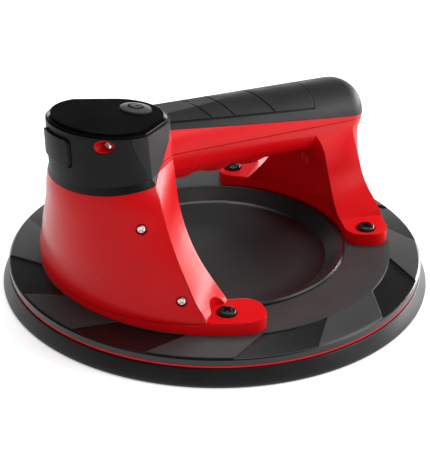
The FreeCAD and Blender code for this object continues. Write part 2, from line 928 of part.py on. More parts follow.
def display_carrier():
    """Inner ring of the head that holds the covers, the lens and the display board."""
    top = below_lens(lens_thickness + seat_gap)
    outer = lofted(head_levels(), wall + 0.2)
    inner = lofted(head_levels(), wall + 0.2 + lap_wall)
    ring = outer.cut(inner).common(top).cut(below_lens(carrier_depth))
    shelf_top = display_depth + board_thickness + seat_gap
    shelf = lofted(head_levels(), wall + lap_wall).cut(lofted(head_levels(), 7.2))
    shelf = shelf.common(below_lens(shelf_top)).cut(below_lens(shelf_top + 1.6))
    ring = joined([ring, shelf] + screw_sleeves()).cut(socket_block(0.5, -150.0, -80.0))
    for point, out in head_screw_seats():
        ring = ring.cut(rod(m3_bore_radius, point - out * head_screw_depth, point + out * 6.0))
    return tapped(largest(ring), head_screw_seats())


def display_board():
    """Circuit board under the lens."""
    board = lofted(head_levels(), display_inset).common(below_lens(display_depth))
    return board.cut(below_lens(display_depth + board_thickness))


def on_board(x0, x1, half_width, height):
    """Flat block on the display board."""
    block = box(x0, x1, -half_width, half_width, 0.0, reach)
    block = block.common(below_lens(display_depth - height))
    return block.cut(below_lens(display_depth - seat_gap))


def display_module():
    """Pressure display panel that shows through the lens."""
    return on_board(-88.0, -64.0, 9.0, 2.4)


def power_switch():
    """Tactile switch under the button, clear of the stem when it is pressed."""
    foot = seat_gap - display_depth
    tip_top = flange_bottom() - button_stem - button_travel - running_gap
    base = box(-3.0, 3.0, -3.0, 3.0, 0.0, tip_top - switch_tip - foot)
    tip = rod(1.7, V(0, 0, 0.5), V(0, 0, tip_top - foot))
    return placed(joined([base, tip]), button_point(foot), lens_normal())


def port_cap():
    """Soft flap over the charging port, hinged along its upper edge, bevelled below."""
    cap = cap_shell(0.0, cap_depth - seat_gap)
    level = head_levels()[1]
    (corner_x, corner_y), front = level[2], level[1]
    depth = corner_x - front
    radius = (depth ** 2 + corner_y ** 2) / (2 * depth)
    low = cap_bottom - 0.5
    bevel = turned([(radius - 0.4, low), (radius + 4.0, low), (radius + 4.0, low + 4.4)])
    return largest(cap.cut(bevel.translated(V(front + radius, 0, 0))))


def charge_socket():
    """Charging socket behind the flap."""
    start = cap_seat() + 0.9
    body = socket_block(0.0, start, start + socket_length)
    tongue = box(start + 1.0, start + socket_length, -3.2, 3.2, socket_z - 0.35,
                 socket_z + 0.35)
    hollow = socket_block(-0.35, start - 1.0, start + socket_length - 1.5)
    return joined([body.cut(hollow), tongue])


def charge_board():
    """Small board that carries the charging socket."""
    start = cap_seat() + 3.4
    top = socket_z - socket_height / 2 - seat_gap
    return box(start, start + 21.0, -8.5, 8.5, top - board_thickness, top)


def motor_can():
    """Steel can of the pump motor."""
    low, high = motor_foot, motor_foot + motor_length
    can = rod(motor_radius, V(motor_x, 0, low), V(motor_x, 0, high))
    rims = ring_edges(can, motor_radius, low) + ring_edges(can, motor_radius, high)
    can = can.makeFillet(1.2, rims)
    return can.cut(rod(shaft_radius + running_gap, V(motor_x, 0, high - 8.0),
                       V(motor_x, 0, high + 1)))


def pump_floor():
    return motor_foot + motor_length + seat_gap


def crank_low():
    return pump_floor() + pump_wall + 2.5


def motor_rotor():
    """Motor shaft with the eccentric that drives the diaphragm."""
    top = motor_foot + motor_length
    shaft = rod(shaft_radius, V(motor_x, 0, top - 7.5),
                V(motor_x, 0, crank_low() + crank_height + 1.5))
    crank = rod(crank_radius, V(motor_x, crank_offset, crank_low()),
                V(motor_x, crank_offset, crank_low() + crank_height))
    return joined([shaft, crank])


def pump_body():
    """Block on the motor that holds the crank and the connecting rod."""
    half, deep = pump_length / 2, pump_width / 2
    low, high = pump_floor(), pump_floor() + pump_height
    block = box(motor_x - half, motor_x + half, -deep, deep, low, high)
    room = box(motor_x - half + pump_wall, motor_x + half - pump_wall, -deep + pump_wall - 0.8,
               deep - pump_wall + 0.8, low + pump_wall, high - pump_wall)
    port = rod(3.2, V(motor_x, 0, rod_height()), V(motor_x, -deep - 1, rod_height()))
    shaft = rod(shaft_radius + running_gap, V(motor_x, 0, low - 1), V(motor_x, 0, low + 4))
    return block.cut(room).cut(port).cut(shaft)


def rod_height():
    return crank_low() + crank_height / 2


def connecting_rod():
    """Yoke around the eccentric with a stem to the diaphragm."""
    bore = crank_radius + crank_offset + running_gap
    low, high = rod_height() - 1.5, rod_height() + 1.5
    yoke = pipe(bore + 0.9, bore, V(motor_x, 0, low), V(motor_x, 0, high))
    stem = rod(1.3, V(motor_x, -bore - 0.4, rod_height()),
               V(motor_x, -pump_width / 2 - seat_gap, rod_height()))
    return joined([yoke, stem])


def head_plate(start, thickness, radius):
    """Round piece on the side of the pump, stacked outwards from its wall."""
    y = -pump_width / 2 - start
    return rod(radius, V(motor_x, y, rod_height()), V(motor_x, y - thickness, rod_height()))


def pump_diaphragm():
    """Rubber disc between pump body and pump head."""
    return head_plate(seat_gap, diaphragm_thickness, pump_head_radius)


def pump_head():
    """Valve head of the pump with its two hose barbs."""
    start = diaphragm_thickness + 2 * seat_gap
    outer_y = -pump_width / 2 - start - pump_head_thickness
    plate = head_plate(start, pump_head_thickness, pump_head_radius)
    room = head_plate(start, 1.4, 5.6)
    lobe = box(motor_x, line_x + 3.0, outer_y, outer_y + pump_head_thickness,
               rod_height() - 3.2, rod_height() + 3.2)
    barb = rod(barb_radius, V(line_x, outer_y + 1, rod_height()),
               V(line_x, outer_y - barb_length, rod_height()))
    outlet = rod(barb_radius, V(motor_x - 4.4, outer_y + 1, rod_height()),
                 V(motor_x - 4.4, outer_y - barb_length, rod_height()))
    return joined([plate, lobe, barb, outlet]).cut(room)


def pump_bracket():
    """Pressed bracket that stands the motor on the plate and carries the main board."""
    low = seat_height + seat_gap
    sole = box(bracket_front, bracket_rear, manifold_high_y + 1.5, board_y - seat_gap, low,
               low + bracket_thickness)
    column = box(motor_x - 4.5, motor_x + 4.5, -6.0, 6.0, low, motor_foot - seat_gap - 1.2)
    cup = rod(motor_radius + seat_gap + motor_collar, V(motor_x, 0, motor_foot - 1.25),
              V(motor_x, 0, motor_foot + 5.0))
    cup = cup.cut(rod(motor_radius + seat_gap, V(motor_x, 0, motor_foot - seat_gap),
                      V(motor_x, 0, motor_foot + 6.0)))
    wall_plate = box(bracket_front + 5.0, bracket_rear - 2.0, board_y - seat_gap - 2.2,
                     board_y - seat_gap, low, 44.0)
    return joined([sole, column, cup, wall_plate])


def main_board():
    """Control board beside the motor."""
    return box(board_front, board_rear, board_y, board_y + board_thickness, board_low, board_high)


def control_chip():
    """Controller on the main board."""
    y = board_y + board_thickness + seat_gap
    return box(-74.0, -65.0, y, y + 1.4, 42.0, 51.0)


def manifold_gasket():
    """Rubber gasket under the air manifold."""
    low = seat_height + seat_gap
    pad = box(line_x - manifold_width / 2, line_x + manifold_width / 2, manifold_low_y,
              manifold_high_y, low, low + gasket_thickness)
    return pad.cut(rod(nipple_radius + seat_gap, V(line_x, inlet_y, 0),
                       V(line_x, inlet_y, reach)))


def air_manifold():
    """Block that joins the inlet, the release valve and the hose."""
    low = manifold_floor()
    high = low + manifold_height
    block = box(line_x - manifold_width / 2, line_x + manifold_width / 2, manifold_low_y,
                manifold_high_y, low, high)
    barb = rod(barb_radius, V(line_x, hose_y, high - 1.0), V(line_x, hose_y,
                                                             high + barb_length))
    gallery = rod(1.0, V(line_x, valve_y, low + 4.5), V(line_x, hose_y, low + 4.5))
    socket = rod(nipple_radius + seat_gap, V(line_x, inlet_y, low - 1),
                 V(line_x, inlet_y, low + 2.0 + seat_gap))
    riser = rod(1.0, V(line_x, inlet_y, low), V(line_x, inlet_y, low + 4.5))
    valve_port = rod(1.0, V(line_x, valve_y, low + 4.5), V(line_x, valve_y, high + 1))
    return joined([block, barb]).cut(joined([gallery, riser, valve_port])).cut(socket)


def valve_seat():
    return manifold_floor() + manifold_height + seat_gap


def release_valve():
    """Body of the release valve that lets air back under the cup."""
    low = valve_seat()
    high = low + valve_height
    body = rod(valve_radius, V(line_x, valve_y, low), V(line_x, valve_y, high))
    bore = rod(plunger_radius + running_gap, V(line_x, valve_y, low + 2.0),
               V(line_x, valve_y, low + 2.0 + plunger_length + plunger_travel + 2.0))
    port = rod(1.0, V(line_x, valve_y, low - 1), V(line_x, valve_y, low + 3))
    vent = rod(0.8, V(line_x, valve_y, low + 5.0), V(line_x + 8.0, valve_y, low + 5.0))
    return body.cut(bore).cut(port).cut(vent)


def valve_plunger():
    """Sprung plunger of the release valve."""
    low = valve_seat() + 2.0 + seat_gap
    return rod(plunger_radius, V(line_x, valve_y, low), V(line_x, valve_y, low + plunger_length))


def pressure_sensor():
    """Vacuum sensor on the side of the manifold."""
    start = line_x + manifold_width / 2 + seat_gap
    low = manifold_floor() + 0.5
    return box(start, start + 4.4, manifold_low_y, manifold_low_y + 8.0, low, low + 6.5)


def air_hose():
    """Silicone hose from the manifold up to the pump head."""
    start = manifold_floor() + manifold_height + seat_gap
    end_y = (-pump_width / 2 - diaphragm_thickness - 2 * seat_gap - pump_head_thickness
             - seat_gap)
    bend_low = V(line_x, hose_y, rod_height() - hose_bend)
    bend_high = V(line_x, hose_y + hose_bend, rod_height())
    swing = hose_bend * (1 - math.sqrt(0.5))
    middle = V(line_x, hose_y + swing, rod_height() - swing)
    path = Part.Wire([
        Part.LineSegment(V(line_x, hose_y, start), bend_low).toShape(),
        Part.Arc(bend_low, middle, bend_high).toShape(),
        Part.LineSegment(bend_high, V(line_x, end_y, rod_height())).toShape(),
    ])

    def swept(radius):
        ring = Part.Wire(Part.makeCircle(radius, V(line_x, hose_y, start), V(0, 0, 1)))
        return path.makePipeShell([ring], True, False)
    return swept(hose_radius).cut(swept(barb_radius + seat_gap))


def battery_cell():
    """Rechargeable cell along the handle."""
    start, end = cell_start, cell_start + cell_length * handle_cos()
    cell = rod(cell_radius, handle_point(start), handle_point(end))
    return cell


def handle_cos():
    return math.cos(math.atan(handle_slope))


def battery_cradle():
    """Half round tray that holds the cell in the lower half of the handle."""
    end = cell_start + cell_length * handle_cos()
    bore = handle_radius - handle_wall
    tray = rod(bore - seat_gap, handle_point(cell_start - 4.0), handle_point(end + 4.0))
    tray = tray.cut(rod(cell_radius + seat_gap, handle_point(cell_start - 1.6),
                        handle_point(end + 1.6)))
    high = [(-60.0, axis_z(-60.0) - 1.0), (120.0, axis_z(120.0) - 1.0), (120.0, 200.0),
            (-60.0, 200.0)]
    return largest(tray.cut(side_block(high)))


def contact_plates():
    """Sprung contacts at both ends of the cell."""
    end = cell_start + cell_length * handle_cos()
    places = [(cell_start - 1.5, cell_start - 0.1), (end + 0.1, end + 1.5)]
    return [rod(5.5, handle_point(a), handle_point(b)) for a, b in places]


def handle_screws():
    """Screws that draw the handle halves together, driven from below."""
    shape = screw(m3_head_radius, m3_head_height, m3_shank_radius, 18.0, 0.7)
    tilt = handle_down()
    return [placed(shape, handle_point(x, 0, handle_screw_seat() - seat_gap), tilt)
            for x in handle_screw_x]


def handle_down():
    """Outward direction below the handle, square to its axis."""
    return V(-handle_slope, 0, -1).normalize()


def write(name, shapes):
    """Write one piece, or one group of identical pieces, to its own file."""
    group = shapes if isinstance(shapes, list) else [shapes]
    shape = group[0] if len(group) == 1 else Part.makeCompound(group)
    shape.exportStep("parts/" + name + ".step")


def main():
    """Build every piece of the lifter."""
    os.makedirs("parts", exist_ok=True)
    outer = outer_form()
    core = inner_form(wall)
    shell = outer.cut(core)
    pieces = {
        "suction_pad": suction_pad(),
        "seal_band": seal_band(),
        "base_plate": base_plate(),
        "foot_inserts": foot_inserts(),
        "foot_screws": foot_screws(),
        "inlet_filter": inlet_filter(),
        "inlet_nipple": inlet_nipple(),
        "front_panel": front_panel(shell),
        "lower_frame": lower_frame(shell, core),
        "upper_shell": upper_shell(shell),
        "soft_cover": soft_cover(shell),
        "head_front_cover": head_front_cover(shell),
        "display_window": display_window(),
        "power_button": power_button(),
        "display_carrier": display_carrier(),
        "display_board": display_board(),
        "display_module": display_module(),
        "power_switch": power_switch(),
        "port_cap": port_cap(),
        "charge_socket": charge_socket(),
        "charge_board": charge_board(),
        "panel_screws": small_screws(panel_screw_seats(), m3_bore_depth),
        "head_screws": small_screws(head_screw_seats(), head_screw_depth),
        "handle_screws": handle_screws(),
        "pump_bracket": pump_bracket(),
        "motor_can": motor_can(),
        "motor_rotor": motor_rotor(),
        "pump_body": pump_body(),
        "connecting_rod": connecting_rod(),
        "pump_diaphragm": pump_diaphragm(),
        "pump_head": pump_head(),
        "manifold_gasket": manifold_gasket(),
        "air_manifold": air_manifold(),
        "release_valve": release_valve(),
        "valve_plunger": valve_plunger(),
        "pressure_sensor": pressure_sensor(),
        "air_hose": air_hose(),
        "main_board": main_board(),
        "control_chip": control_chip(),
        "battery_cell": battery_cell(),
        "battery_cradle": battery_cradle(),
        "contact_plates": contact_plates(),
    }
    for name, shapes in pieces.items():
        write(name, shapes)


if __name__ == "__main__":
    main()
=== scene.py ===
"""Looks of a battery suction lifter for floor tiles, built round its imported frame.

Lengths are metres unless a name ends in _mm. +Z is up, +X runs from the tower to the
rear leg, and the origin is the centre of the cup on the floor.
"""
import json
import logging
import math
from dataclasses import dataclass
from enum import Enum
from typing import Iterable, Sequence

import bmesh
import bpy
from mathutils import Matrix, Vector


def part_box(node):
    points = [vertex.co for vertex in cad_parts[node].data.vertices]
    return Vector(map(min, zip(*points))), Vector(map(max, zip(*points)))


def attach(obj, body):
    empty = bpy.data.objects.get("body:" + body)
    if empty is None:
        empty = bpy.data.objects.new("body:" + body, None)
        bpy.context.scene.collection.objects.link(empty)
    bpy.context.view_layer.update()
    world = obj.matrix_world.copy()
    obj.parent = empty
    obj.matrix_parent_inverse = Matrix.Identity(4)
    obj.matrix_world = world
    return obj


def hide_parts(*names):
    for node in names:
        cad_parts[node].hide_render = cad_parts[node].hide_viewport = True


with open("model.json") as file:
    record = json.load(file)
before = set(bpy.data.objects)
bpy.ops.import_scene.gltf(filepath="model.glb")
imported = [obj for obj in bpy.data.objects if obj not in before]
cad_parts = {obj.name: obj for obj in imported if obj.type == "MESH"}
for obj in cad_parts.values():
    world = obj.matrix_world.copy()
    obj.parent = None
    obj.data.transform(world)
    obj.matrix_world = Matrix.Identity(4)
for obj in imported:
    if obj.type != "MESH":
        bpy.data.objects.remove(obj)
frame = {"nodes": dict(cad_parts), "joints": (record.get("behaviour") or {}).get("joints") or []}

log = logging.getLogger("lifter")

MM = 0.001
# A wave texture turns through this many radians over one unit of its scale.
WAVE_RADIANS = 20.0


class Grain(Enum):
    """How a surface was made, which sets the pattern of its relief."""

    POLISHED = "polished"
    ERODED = "spark eroded"
    LEATHER = "moulded leather"
    TURNED = "turned"
    BRUSHED = "brushed"
    FOAM = "open cells"
    WOVEN = "woven glass"


def linear(hex_colour: str) -> tuple[float, float, float, float]:
    """Turns an sRGB colour into a linear one.

    Args:
        hex_colour: six hex digits, with or without a leading mark.

    Returns:
        Red, green, blue and full alpha, all linear.
    """
    digits = hex_colour.lstrip("#")
    parts = [int(digits[i:i + 2], 16) / 255 for i in (0, 2, 4)]
    curve = [c / 12.92 if c <= 0.04045 else ((c + 0.055) / 1.055) ** 2.4 for c in parts]
    return curve[0], curve[1], curve[2], 1.0


def add_node(tree: bpy.types.NodeTree, kind: str, settings: dict | None = None,
             links: dict | None = None) -> bpy.types.Node:
    """Adds one shader node.

    Args:
        tree: the tree that gets the node.
        kind: the node's type name.
        settings: attributes by name, and socket values by name or number.
        links: output sockets by the name or number of the input that they feed.

    Returns:
        The new node.
    """
    node = tree.nodes.new(kind)
    for key, value in (settings or {}).items():
        if isinstance(key, str) and hasattr(node, key):
            setattr(node, key, value)
        else:
            node.inputs[key].default_value = value
    for key, output in (links or {}).items():
        tree.links.new(output, node.inputs[key])
    return node


@dataclass(frozen=True)
class Finish:
    """One finish: what the material is, and what its surface shows."""

    name: str
    colour: str
    roughness: float
    grain: Grain = Grain.ERODED
    grain_mm: float = 0.6
    grain_height_mm: float = 0.02
    second: str = ""
    mottle: float = 0.35
    mottle_mm: float = 18.0
    rough_spread: float = 0.06
    metallic: float = 0.0
    ior: float = 1.5
    specular: float = 0.5
    edge_mm: float = 0.35
    tone_range: tuple[float, float] = (0.3, 0.7)
    wear_range: tuple[float, float] = (0.2, 0.8)
    turned_stretch: tuple[float, float, float] = (1.0, 1.0, 12.0)
    brushed_stretch: tuple[float, float, float] = (0.08, 1.0, 1.0)

    def build(self) -> bpy.types.Material:
        """Makes the material, unless it was made before.

        Returns:
            The material.
        """
        made = bpy.data.materials.get(self.name)
        if made:
            return made
        material = bpy.data.materials.new(self.name)
        material.use_nodes = True
        tree = material.node_tree
        tree.nodes.clear()
        place = add_node(tree, "ShaderNodeTexCoord").outputs["Object"]
        colour = self.tint(tree, place)
        rough = self.wear(tree, place)
        normal = self.relief(tree, place)
        shader = add_node(tree, "ShaderNodeBsdfPrincipled", {
            "Metallic": self.metallic,
            "IOR": self.ior,
            "Specular IOR Level": self.specular,
        }, {"Base Color": colour, "Roughness": rough, "Normal": normal})
        add_node(tree, "ShaderNodeOutputMaterial", {}, {"Surface": shader.outputs[0]})
        material.diffuse_color = linear(self.colour)
        material.roughness = self.roughness
        material.metallic = self.metallic
        return material

    def tint(self, tree: bpy.types.NodeTree, place: bpy.types.NodeSocket) -> bpy.types.NodeSocket:
        """Base colour: two close tones that drift into each other, as in a moulding.

        Args:
            tree: the material's tree.
            place: object coordinates.

        Returns:
            The colour output.
        """
        drift = add_node(tree, "ShaderNodeTexNoise", {
            "Scale": 1 / (self.mottle_mm * MM), "Detail": 3.0, "Roughness": 0.55,
        }, {"Vector": place})
        low, high = self.tone_range
        share = add_node(tree, "ShaderNodeMapRange", {
            "interpolation_type": "SMOOTHSTEP",
            "From Min": low, "From Max": high, "To Min": 0.0, "To Max": self.mottle,
        }, {"Value": drift.outputs["Fac"]})
        mixed = add_node(tree, "ShaderNodeMix", {
            "data_type": "RGBA", 6: linear(self.colour), 7: linear(self.second or self.colour),
        }, {0: share.outputs[0]})
        return mixed.outputs[2]

    def wear(self, tree: bpy.types.NodeTree, place: bpy.types.NodeSocket) -> bpy.types.NodeSocket:
        """Roughness that varies a little, as handling polishes some places.

        Args:
            tree: the material's tree.
            place: object coordinates.

        Returns:
            The roughness output.
        """
        drift = add_node(tree, "ShaderNodeTexNoise", {
            "Scale": 1 / (self.mottle_mm * MM), "Detail": 1.0, "Roughness": 0.4,
        }, {"Vector": place})
        low, high = self.wear_range
        rough = add_node(tree, "ShaderNodeMapRange", {
            "interpolation_type": "SMOOTHSTEP",
            "From Min": low, "From Max": high,
            "To Min": self.roughness - self.rough_spread,
            "To Max": self.roughness + self.rough_spread,
        }, {"Value": drift.outputs["Fac"]})
        return rough.outputs[0]

    def pattern(self, tree: bpy.types.NodeTree,
                place: bpy.types.NodeSocket) -> bpy.types.NodeSocket | None:
        """Height pattern of the surface, from 0 to 1.

        Args:
            tree: the material's tree.
            place: object coordinates.

        Returns:
            The height output, or None on a polished surface.
        """
        scale = 1 / (self.grain_mm * MM)
        if self.grain is Grain.POLISHED:
            return None
        if self.grain in (Grain.LEATHER, Grain.FOAM):
            cells = add_node(tree, "ShaderNodeTexVoronoi", {
                "Scale": scale, "feature": "SMOOTH_F1", "Smoothness": 0.6,
            }, {"Vector": place})
            return cells.outputs["Distance"]
        if self.grain is Grain.WOVEN:
            waves = add_node(tree, "ShaderNodeTexWave", {
                "Scale": scale / WAVE_RADIANS, "Distortion": 0.4, "bands_direction": "DIAGONAL",
            }, {"Vector": place})
            return waves.outputs["Fac"]
        stretch = {Grain.TURNED: self.turned_stretch,
                   Grain.BRUSHED: self.brushed_stretch}.get(self.grain)
        if stretch:
            squeezed = add_node(tree, "ShaderNodeMapping", {"Scale": stretch}, {"Vector": place})
            place = squeezed.outputs[0]
        noise = add_node(tree, "ShaderNodeTexNoise", {
            "Scale": scale, "Detail": 2.0, "Roughness": 0.5,
        }, {"Vector": place})
        return noise.outputs["Fac"]

    def relief(self, tree: bpy.types.NodeTree, place: bpy.types.NodeSocket) -> bpy.types.NodeSocket:
        """Normal of the surface: softened edges with the grain on top.

        Args:
            tree: the material's tree.
            place: object coordinates.

        Returns:
            The normal output.
        """
        edge = add_node(tree, "ShaderNodeBevel", {"samples": 4, "Radius": self.edge_mm * MM})
        height = self.pattern(tree, place)
        if height is None:
            return edge.outputs[0]
        bump = add_node(tree, "ShaderNodeBump", {
            "Strength": 1.0, "Distance": self.grain_height_mm * MM,
        }, {"Height": height, "Normal": edge.outputs[0]})
        return bump.outputs[0]


@dataclass(frozen=True)
class FacetedFinish(Finish):
    """Moulded nylon with an eroded raised skin, darker, smoother facets, and a darker, smoother
    dish whose wall and bead are painted in shade and whose floor has a painted sheen.

    The raised skin is a cone that starts at the radius slope_start and the height slope_top and
    falls by slope_fall for each metre outwards. The floor of a facet lies a step under it.
    """

    # Darker colour of the recessed facets, also used as painted shade on the dish's wall and bead.
    facet_and_wall_shade_colour: str = "#0E0E0E"
    low_roughness: float = 0.26
    # Painted sheen: the dish's floor is coloured lighter than its shaded wall, standing in for the
    # light it reflects.
    dish_floor_sheen_colour: str = "#222223"
    dish_roughness: float = 0.42
    wall_roughness: float = 0.33
    dish_floor_radius: float = 0.0555
    dish_blend: float = 0.012
    bead_radius: float = 0.0655
    bead_margin: float = 0.0004
    bead_blend: float = 0.0002
    slope_start: float = 0.0883
    slope_margin: float = 0.0005
    slope_span: float = 0.02
    slope_top: float = 0.0163
    slope_fall: float = 0.139
    step: float = 0.0008
    step_raised: float = 0.45
    step_sunk: float = 0.7

    def radius(self, tree: bpy.types.NodeTree,
               place: bpy.types.NodeSocket) -> tuple[bpy.types.NodeSocket, bpy.types.NodeSocket]:
        """Distance from the plate's axis, and height.

        Args:
            tree: the material's tree.
            place: object coordinates.

        Returns:
            The output of the distance and that of the height.
        """
        parts = add_node(tree, "ShaderNodeSeparateXYZ", {}, {"Vector": place})
        flat = add_node(tree, "ShaderNodeCombineXYZ", {},
                        {"X": parts.outputs["X"], "Y": parts.outputs["Y"]})
        length = add_node(tree, "ShaderNodeVectorMath", {"operation": "LENGTH"},
                          {0: flat.outputs[0]})
        return length.outputs["Value"], parts.outputs["Z"]

    def facet_share(self, tree: bpy.types.NodeTree,
                    place: bpy.types.NodeSocket) -> bpy.types.NodeSocket:
        """How far a point has sunk into a recessed facet, by its depth under the raised cone.

        Args:
            tree: the material's tree.
            place: object coordinates.

        Returns:
            An output of 0 on the raised skin and 1 on the floor of a facet.
        """
        radius, height = self.radius(tree, place)
        fall = self.slope_span * self.slope_fall
        slope = add_node(tree, "ShaderNodeMapRange", {
            "From Min": self.slope_start, "From Max": self.slope_start + self.slope_span,
            "To Min": self.slope_top, "To Max": self.slope_top - fall,
        }, {"Value": radius})
        depth = add_node(tree, "ShaderNodeMath", {"operation": "SUBTRACT"},
                         {0: slope.outputs[0], 1: height})
        share = add_node(tree, "ShaderNodeMapRange", {
            "From Min": self.step_raised * self.step, "From Max": self.step_sunk * self.step,
            "To Min": 0.0, "To Max": 1.0,
        }, {"Value": depth.outputs[0]})
        outside = add_node(tree, "ShaderNodeMath",
                           {"operation": "GREATER_THAN", 1: self.slope_start - self.slope_margin},
                           {0: radius})
        facet = add_node(tree, "ShaderNodeMath", {"operation": "MULTIPLY"},
                         {0: share.outputs[0], 1: outside.outputs[0]})
        return facet.outputs[0]

    def within(self, tree: bpy.types.NodeTree, place: bpy.types.NodeSocket, limit: float,
               blend: float) -> bpy.types.NodeSocket:
        """Tells what lies nearer to the plate's axis than a limit.

        Args:
            tree: the material's tree.
            place: object coordinates.
            limit: the distance from the axis.
            blend: the width over which the output falls, inside the limit.

        Returns:
            An output of 1 inside and 0 outside.
        """
        radius, _ = self.radius(tree, place)
        inside = add_node(tree, "ShaderNodeMapRange", {
            "From Min": limit - blend, "From Max": limit, "To Min": 1.0, "To Max": 0.0,
        }, {"Value": radius})
        return inside.outputs[0]

    def bead_share(self, tree: bpy.types.NodeTree,
                   place: bpy.types.NodeSocket) -> bpy.types.NodeSocket:
        """Tells what lies on the dish's bead or inside it.

        Args:
            tree: the material's tree.
            place: object coordinates.

        Returns:
            An output of 1 there and 0 outside.
        """
        return self.within(tree, place, self.bead_radius + self.bead_margin, self.bead_blend)

    def tint(self, tree: bpy.types.NodeTree, place: bpy.types.NodeSocket) -> bpy.types.NodeSocket:
        """Base colour: darker in the facets, with painted shade on the wall of the dish and on its
        bead, and a painted sheen on the dish's floor that is lighter than that shade.

        Args:
            tree: the material's tree.
            place: object coordinates.

        Returns:
            The colour output.
        """
        raised = super().tint(tree, place)
        # Painted shade: the dish's wall and bead take the facets' dark colour, where shade falls in
        # the dish.
        smooth = add_node(tree, "ShaderNodeMath", {"operation": "MAXIMUM"},
                          {0: self.facet_share(tree, place), 1: self.bead_share(tree, place)})
        outer = add_node(tree, "ShaderNodeMix", {"data_type": "RGBA", 7: linear(self.facet_and_wall_shade_colour)},
                         {0: smooth.outputs[0], 6: raised})
        # Painted sheen: the dish's floor gets its own lighter colour, standing in for the light it
        # reflects.
        floor = self.within(tree, place, self.dish_floor_radius, self.dish_blend)
        whole = add_node(tree, "ShaderNodeMix", {"data_type": "RGBA", 7: linear(self.dish_floor_sheen_colour)},
                         {0: floor, 6: outer.outputs[2]})
        return whole.outputs[2]

    def wear(self, tree: bpy.types.NodeTree, place: bpy.types.NodeSocket) -> bpy.types.NodeSocket:
        """Roughness, smoother in the facets and the dish.

        Args:
            tree: the material's tree.
            place: object coordinates.

        Returns:
            The roughness output.
        """
        raised = super().wear(tree, place)
        outer = add_node(tree, "ShaderNodeMix", {"data_type": "FLOAT", 3: self.low_roughness},
                         {0: self.facet_share(tree, place), 2: raised})
        wall = add_node(tree, "ShaderNodeMix", {"data_type": "FLOAT", 3: self.wall_roughness},
                        {0: self.bead_share(tree, place), 2: outer.outputs[0]})
        floor = self.within(tree, place, self.dish_floor_radius, self.dish_blend)
        whole = add_node(tree, "ShaderNodeMix", {"data_type": "FLOAT", 3: self.dish_roughness},
                         {0: floor, 2: wall.outputs[0]})
        return whole.outputs[0]


# The real grain of a moulded skin is about 0.1 mm and that of a machined one finer still, too
# fine to show in the render, so the grains below are drawn as coarse as they need to show.

# Moulded EPDM rubber: deep black with a soft, wide shine and a fine eroded skin.
CUP_RUBBER = Finish("EPDM rubber moulded black", "#151516", 0.38, Grain.ERODED, 0.9, 0.03,
                    second="#1E1E1F", mottle=0.5, specular=0.35, rough_spread=0.03, ior=1.51)
# Silicone bead: clear bright red, smooth from a polished mould.
BAND_SILICONE = Finish("silicone moulded red", "#D8141A", 0.38, Grain.ERODED, 1.2, 0.01,
                       second="#C01018", specular=0.3, ior=1.41)
# Glass filled nylon: grey with a visible eroded grain, near black in the smoother facets, with
# painted shade on the dish's wall and bead and a painted sheen on its floor.
PLATE_NYLON = FacetedFinish("glass filled nylon eroded", "#2C2C2D", 0.46, Grain.ERODED, 0.8,
                            0.05, second="#333334", specular=0.4, rough_spread=0.03, ior=1.53)
# ABS in signal red: satin moulded skin, faint flow clouds, a sharp shine on round edges.
HOUSING_ABS = Finish("ABS moulded signal red", "#D00A12", 0.26, Grain.ERODED, 0.9, 0.006,
                     second="#C60910", mottle=0.6, mottle_mm=40.0, specular=0.12,
                     rough_spread=0.02, ior=1.54)
# TPE over-moulded grip: charcoal, dull and slightly dusty, with a fine leather cell.
GRIP_TPE = Finish("TPE overmoulded charcoal", "#1C1C1D", 0.50, Grain.LEATHER, 0.7, 0.02,
                  second="#232324", mottle=0.6, specular=0.16, ior=1.49)
# ABS in black with an eroded skin, a shade darker than the grip.
COVER_ABS = Finish("ABS eroded black", "#0F0F0F", 0.42, Grain.ERODED, 0.7, 0.015,
                   second="#131313", specular=0.12, ior=1.54)
# Smoked polycarbonate: nearly black and polished, so only its edges catch the light.
LENS_POLYCARBONATE = Finish("polycarbonate polished smoked", "#040404", 0.10, Grain.POLISHED,
                            rough_spread=0.02, specular=0.04, edge_mm=0.5, ior=1.58)
# Pad printed button: satin grey with a fine eroded skin.
BUTTON_ABS = Finish("ABS eroded grey", "#404042", 0.45, Grain.ERODED, 0.6, 0.01,
                    second="#464648", specular=0.15, ior=1.54)
# Printed power mark: dull black ink that stands out on the grey button.
MARK_INK = Finish("pad print ink black", "#050505", 0.65, Grain.ERODED, 0.5, 0.004,
                  specular=0.05, edge_mm=0.1, ior=1.52)
# Black zinc on steel screws: dark with a cold satin glint.
ZINC_BLACK = Finish("steel zinc plated black", "#1A1A1B", 0.28, Grain.ERODED, 0.4, 0.01,
                    metallic=0.6, second="#222224", specular=0.7, edge_mm=0.25)
# Nickel on steel screws: bright, with turning marks.
NICKEL_STEEL = Finish("steel nickel plated", "#D9D7D2", 0.22, Grain.TURNED, 0.3, 0.008,
                      metallic=1.0, second="#C9C6C0", edge_mm=0.2)
# Drawn steel can: grey and brushed along its length.
DRAWN_STEEL = Finish("steel drawn can", "#A8A8A6", 0.35, Grain.BRUSHED, 0.3, 0.01,
                     metallic=1.0, second="#9A9A98", edge_mm=0.2)
# Turned brass: warm yellow with fine rings.
TURNED_BRASS = Finish("brass turned", "#C9A14A", 0.28, Grain.TURNED, 0.3, 0.01,
                      metallic=1.0, second="#B8903C", edge_mm=0.2)
# Open cell polyurethane foam: dark and dry, with visible pores.
FILTER_FOAM = Finish("polyurethane open cell foam", "#2F2F2F", 0.92, Grain.FOAM, 0.6, 0.2,
                     second="#232323", edge_mm=0.2, ior=1.48)
# Natural nylon: milky white, satin.
NATURAL_NYLON = Finish("nylon natural moulded", "#D6D3C6", 0.42, Grain.ERODED, 0.8, 0.01,
                       second="#CCC9BA", edge_mm=0.25, ior=1.53)
